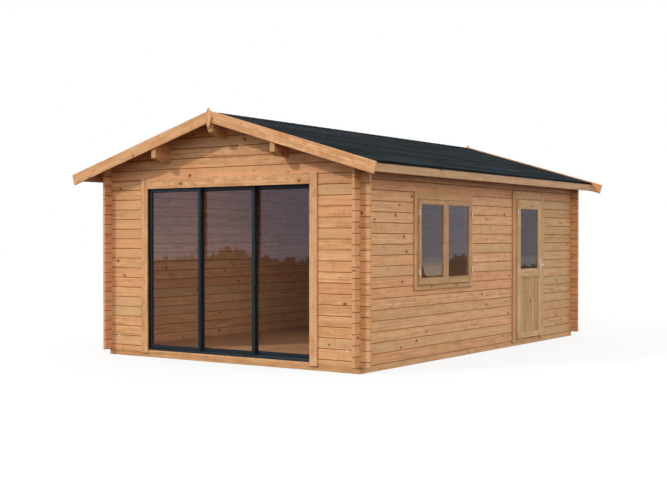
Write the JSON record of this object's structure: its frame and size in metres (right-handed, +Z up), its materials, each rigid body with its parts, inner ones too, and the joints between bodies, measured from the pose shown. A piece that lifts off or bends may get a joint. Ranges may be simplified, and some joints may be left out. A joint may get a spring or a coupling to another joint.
{
  "type": "log garden house",
  "caption": "Timber log garden house with crossed log corners, a low gable roof, a sliding glass front, a casement window and a half-glazed hinged side door.",
  "frame": {"origin": "middle of the footprint, on the ground under the bearers", "axes": "+Z up, +Y from the front gable to the back gable, +X to the right seen from the front"},
  "size_m": [4.296, 6.0532, 2.8078],
  "materials": {
    "bearer_timber": "impregnated softwood, sawn",
    "floor_timber": "planed spruce boards",
    "wall_logs": "planed spruce logs, oiled",
    "roof_timber": "planed spruce",
    "roofing": "black mineral felt",
    "trim_timber": "planed spruce trim",
    "joinery_timber": "planed spruce joinery",
    "dark_aluminium": "powder coated, anthracite",
    "clear_glass": "clear float glass",
    "ironmongery": "zinc plated and satin steel"
  },
  "bodies": {
    "house": {"perimeter_bearers": "bearer_timber", "floor_joists": "bearer_timber", "floor_boards": "floor_timber", "front_wall_left": "wall_logs", "front_wall_right": "wall_logs", "front_gable": "wall_logs", "back_wall": "wall_logs", "back_gable": "wall_logs", "left_wall": "wall_logs", "right_wall_front": "wall_logs", "right_wall_back": "wall_logs", "right_wall_top": "wall_logs", "ridge_purlin": "roof_timber", "left_purlin": "roof_timber", "right_purlin": "roof_timber", "left_roof_boards": "roof_timber", "right_roof_boards": "roof_timber", "left_roofing": "roofing", "right_roofing": "roofing", "front_left_bargeboard": "trim_timber", "front_right_bargeboard": "trim_timber", "back_left_bargeboard": "trim_timber", "back_right_bargeboard": "trim_timber", "front_finial": "trim_timber", "back_finial": "trim_timber", "left_fascia": "trim_timber", "right_fascia": "trim_timber", "sliding_door_casing": "trim_timber", "door_sills": "trim_timber", "window_casing": "trim_timber", "window_lining": "trim_timber", "side_door_casing": "trim_timber", "side_door_lining": "trim_timber", "window_sashes": "joinery_timber", "sliding_door_frame": "dark_aluminium", "right_panel_frame": "dark_aluminium", "right_panel_glass": "clear_glass", "window_glass": "clear_glass", "window_hinges": "ironmongery", "side_door_hinge_pins": "ironmongery"},
    "left_panel": {"left_panel_frame": "dark_aluminium", "left_panel_glass": "clear_glass"},
    "middle_panel": {"middle_panel_frame": "dark_aluminium", "middle_panel_glass": "clear_glass"},
    "side_door": {"side_door_leaf": "joinery_timber", "side_door_boards": "joinery_timber", "side_door_glass": "clear_glass", "side_door_hinge_knuckles": "ironmongery", "handle_plates": "ironmongery"},
    "door_lever": {"handle_lever": "ironmongery"}
  },
  "joints": [
    {"name": "left_panel_slide", "type": "slide", "parent": "house", "child": "left_panel", "axis": [1, 0, 0], "range_m": [0, 1.48]},
    {"name": "middle_panel_slide", "type": "slide", "parent": "house", "child": "middle_panel", "axis": [1, 0, 0], "range_m": [0, 0.74]},
    {"name": "side_door_hinge", "type": "hinge", "parent": "house", "child": "side_door", "pos_m": [1.8273, 0.902, 1], "axis": [0, 0, -1], "range_deg": [0, 110]},
    {"name": "lever_turn", "type": "hinge", "parent": "side_door", "child": "door_lever", "pos_m": [1.82, 1.592, 1.031], "axis": [1, 0, 0], "range_deg": [0, 45], "stiffness_Nm_per_rad": 1.2, "springref_deg": -34.38}
  ]
}
